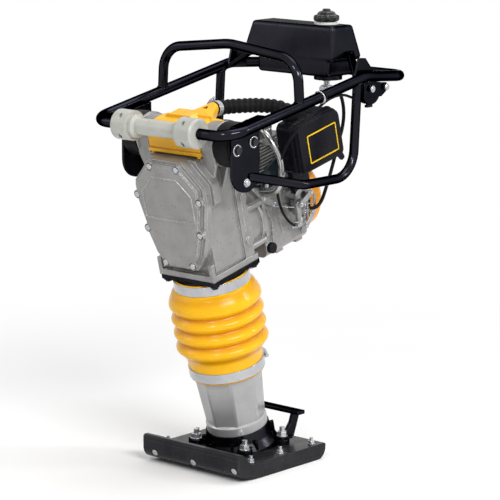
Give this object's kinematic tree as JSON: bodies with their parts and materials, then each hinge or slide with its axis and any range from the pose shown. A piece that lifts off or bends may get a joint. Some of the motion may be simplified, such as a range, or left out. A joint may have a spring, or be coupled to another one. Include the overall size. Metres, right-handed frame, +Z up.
{
  "type": "tamping rammer",
  "caption": "Upright rammer: flat shoe with a raised toe, leg in a ribbed bellows, crankcase, small engine, and a tube handle frame with a front roller and a fuel tank.",
  "frame": {"origin": "middle of the shoe's sole, on the ground", "axes": "+Z up, -Y towards the curled toe and the front roller, +Y towards the operator, +X the side that carries the air cleaner"},
  "size_m": [0.4308, 0.64, 1.005],
  "materials": {
    "shoe_steel": "dark grey wear plate and laminated block, satin",
    "foot_black": "black painted casting, semi-gloss",
    "leg_alloy": "satin machined aluminium",
    "cast_alloy": "shot-blasted light grey casting",
    "zinc_plate": "bright zinc plate",
    "black_bolt": "blackened steel",
    "machined_steel": "turned and ground steel with an oil film",
    "spring_steel": "shot-peened spring steel, blue-grey",
    "bronze": "plain bearing bronze",
    "yellow_rubber": "bright glossy yellow",
    "black_rubber": "black, matt",
    "pot_metal": "raw die-cast grey",
    "dark_steel": "heat-darkened steel",
    "orange_cover": "orange-yellow, glossy",
    "amber_plastic": "amber yellow, semi-gloss",
    "black_plastic": "black moulding, satin",
    "filter_foam": "oiled foam",
    "frame_black": "black gloss paint",
    "roller_plastic": "light grey moulding",
    "white_plastic": "off-white"
  },
  "bodies": {
    "foot": {"sole_plate": "shoe_steel", "shoe_block": "shoe_steel", "foot_flange": "foot_black", "carry_handle": "foot_black", "foot_studs": "zinc_plate", "leg": "leg_alloy", "spring_cylinder": "machined_steel", "cylinder_cap": "machined_steel", "lower_clamp": "zinc_plate", "bellows": "yellow_rubber", "lower_spring": "spring_steel", "upper_spring": "spring_steel"},
    "machine": {"piston_rod": "machined_steel", "piston": "machined_steel", "upper_clamp": "zinc_plate", "neck_flange": "foot_black", "flange_bolts": "black_bolt", "guide_tube": "machined_steel", "guide_bush": "bronze", "crankcase": "cast_alloy", "crankcase_cover": "cast_alloy", "cover_bolts": "zinc_plate", "gear_bearings": "machined_steel", "engine_block": "cast_alloy", "cylinder_head": "cast_alloy", "spark_lead": "black_rubber", "carburettor": "pot_metal", "muffler": "dark_steel", "recoil_cover": "orange_cover", "oil_plug": "black_plastic", "top_cover": "amber_plastic", "intake_hose": "black_rubber", "hose_clamp": "zinc_plate", "air_box_base": "black_plastic", "air_box_cover": "black_plastic", "air_filter": "filter_foam", "rubber_mounts": "black_rubber", "side_plates": "frame_black", "mount_bolts": "black_bolt", "handle_loop": "frame_black", "lifting_hoop": "frame_black", "side_tubes": "frame_black", "fuel_tank": "black_plastic", "filler_collar": "white_plastic", "tank_brackets": "frame_black", "fuel_valve": "zinc_plate", "fuel_hose": "black_rubber", "throttle_bracket": "frame_black", "throttle_cable": "black_rubber"},
    "crank_gear": {"crank_gear": "machined_steel"},
    "connecting_rod": {"connecting_rod": "machined_steel"},
    "pinion": {"pinion": "machined_steel"},
    "engine_shaft": {"engine_shaft": "machined_steel"},
    "throttle_arm": {"throttle_arm": "zinc_plate"},
    "starter_grip": {"starter_grip": "black_plastic"},
    "roller": {"roller_shells": "roller_plastic", "roller_screws": "zinc_plate"},
    "fuel_cap": {"fuel_cap": "black_plastic"},
    "valve_lever": {"valve_lever": "zinc_plate"},
    "throttle_lever": {"throttle_lever": "black_plastic"}
  },
  "joints": [
    {"name": "ram_slide", "type": "slide", "parent": "foot", "child": "machine", "axis": [0, -0.2334, 0.9724], "range_m": [-0.025, 0.025], "stiffness_N_per_m": 60000, "springref_m": 0.00859, "deforming": ["bellows", "lower_spring", "upper_spring"]},
    {"name": "crank_spin", "type": "hinge", "parent": "machine", "child": "crank_gear", "pos_m": [0, -0.06988, 0.6133], "axis": [0, 0.9724, 0.2334], "continuous": true},
    {"name": "rod_pivot", "type": "hinge", "parent": "crank_gear", "child": "connecting_rod", "pos_m": [0, -0.11048, 0.57681], "axis": [0, 0.9724, 0.2334], "continuous": true},
    {"name": "pinion_spin", "type": "hinge", "parent": "machine", "child": "pinion", "pos_m": [0, -0.05139, 0.53629], "axis": [0, 0.9724, 0.2334], "continuous": true},
    {"name": "engine_spin", "type": "hinge", "parent": "machine", "child": "engine_shaft", "pos_m": [0, 0.09641, 0.57177], "axis": [0, 0.9724, 0.2334], "continuous": true},
    {"name": "throttle_turn", "type": "hinge", "parent": "machine", "child": "throttle_lever", "pos_m": [0.1964, 0.22603, 0.81975], "axis": [1, 0, 0], "range_deg": [0, 45]},
    {"name": "throttle_arm_turn", "type": "hinge", "parent": "machine", "child": "throttle_arm", "pos_m": [0.075, 0.1329, 0.53116], "axis": [1, 0, 0], "range_deg": [0, 25]},
    {"name": "grip_pull", "type": "slide", "parent": "machine", "child": "starter_grip", "axis": [0, 0.9724, 0.2334], "range_m": [0, 0.6], "stiffness_N_per_m": 10, "springref_m": -0.5},
    {"name": "roller_spin", "type": "hinge", "parent": "machine", "child": "roller", "pos_m": [0, -0.23997, 0.77975], "axis": [1, 0, 0], "continuous": true},
    {"name": "cap_turn", "type": "hinge", "parent": "machine", "child": "fuel_cap", "pos_m": [0.065, 0.23603, 0.97775], "axis": [0, 0, 1], "range_deg": [0, 90]},
    {"name": "valve_turn", "type": "hinge", "parent": "machine", "child": "valve_lever", "pos_m": [0.064, 0.22403, 0.82675], "axis": [0, 1, 0], "range_deg": [-90, 0]}
  ],
  "couplings": [
    {"joint": "rod_pivot", "follows": "crank_spin", "ratio": -1},
    {"joint": "pinion_spin", "follows": "crank_spin", "ratio": -5},
    {"joint": "throttle_arm_turn", "follows": "throttle_turn", "ratio": 0.5}
  ]
}
